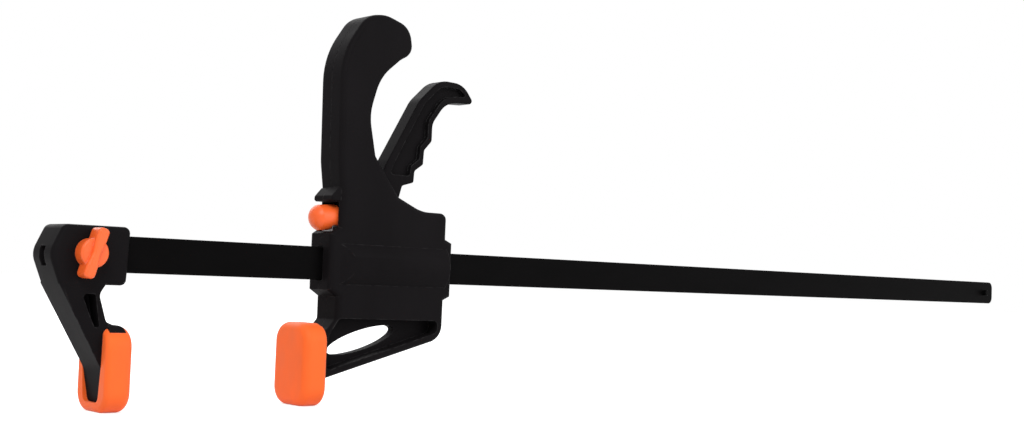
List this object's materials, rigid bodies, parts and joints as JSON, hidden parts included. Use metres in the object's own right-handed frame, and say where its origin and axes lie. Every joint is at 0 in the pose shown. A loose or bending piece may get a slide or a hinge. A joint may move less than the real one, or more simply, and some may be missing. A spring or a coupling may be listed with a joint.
{
  "type": "quick release bar clamp",
  "caption": "One-handed bar clamp: a pistol-grip housing with squeeze trigger and release button slides on a long flat bar towards a fixed jaw with a wing knob; both jaws carry soft pads.",
  "frame": {"origin": "middle of the fixed pad's clamping face", "axes": "+X along the bar from the fixed jaw to the free end, +Z from the jaws up to the handle, +Y away from the side with the wing knob"},
  "size_m": [0.7484, 0.0345, 0.1923],
  "materials": {
    "bar": "blackened steel, satin",
    "steel": "bright zinc",
    "plates": "ground steel",
    "springs": "drawn wire",
    "jaw": "fine moulded texture",
    "housing": "fine moulded texture",
    "trigger": "fine moulded texture",
    "knob": "smooth orange",
    "pads": "soft satin orange"
  },
  "bodies": {
    "bar_assembly": {"bar": "bar", "stop_pin": "steel", "fixed_jaw": "jaw", "fixed_pad": "pads", "jaw_nut": "steel"},
    "housing": {"near_shell": "housing", "far_shell": "housing", "shell_screws": "steel", "moving_pad": "pads", "trigger_pin": "steel", "drive_spring": "springs", "brake_spring": "springs"},
    "trigger": {"trigger": "trigger"},
    "drive": {"front_drive_plate": "plates", "rear_drive_plate": "plates"},
    "brake": {"brake_lever": "plates", "release_button": "knob"},
    "knob_washer": {"knob_washer": "steel"},
    "knob": {"wing_knob": "knob", "knob_screw": "steel"}
  },
  "joints": [
    {"name": "jaw_slide", "type": "slide", "parent": "bar_assembly", "child": "housing", "axis": [1, 0, 0], "range_m": [-0.0852, 0.5215]},
    {"name": "trigger_squeeze", "type": "hinge", "parent": "housing", "child": "trigger", "pos_m": [0.1262, 0, 0.0805], "axis": [0, -1, 0], "range_deg": [0, 19], "stiffness_Nm_per_rad": 0.6, "springref_deg": -17.19},
    {"name": "drive_slide", "type": "slide", "parent": "housing", "child": "drive", "axis": [1, 0, 0], "range_m": [0, 0.00429], "deforming": ["drive_spring"]},
    {"name": "release_press", "type": "hinge", "parent": "housing", "child": "brake", "pos_m": [0.1085, 0, 0.0355], "axis": [0, 1, 0], "range_deg": [0, 5], "stiffness_Nm_per_rad": 0.4, "springref_deg": -8.59, "deforming": ["brake_spring"]},
    {"name": "knob_travel", "type": "slide", "parent": "bar_assembly", "child": "knob_washer", "axis": [0, -1, 0], "range_m": [0, 0.004]},
    {"name": "knob_turn", "type": "hinge", "parent": "knob_washer", "child": "knob", "pos_m": [-0.0215, -0.011, 0.0495], "axis": [0, -1, 0], "range_deg": [0, 1440]}
  ],
  "couplings": [
    {"joint": "drive_slide", "follows": "trigger_squeeze", "m_per_rad": 0.012941},
    {"joint": "knob_turn", "follows": "knob_travel", "rad_per_m": 6283}
  ]
}
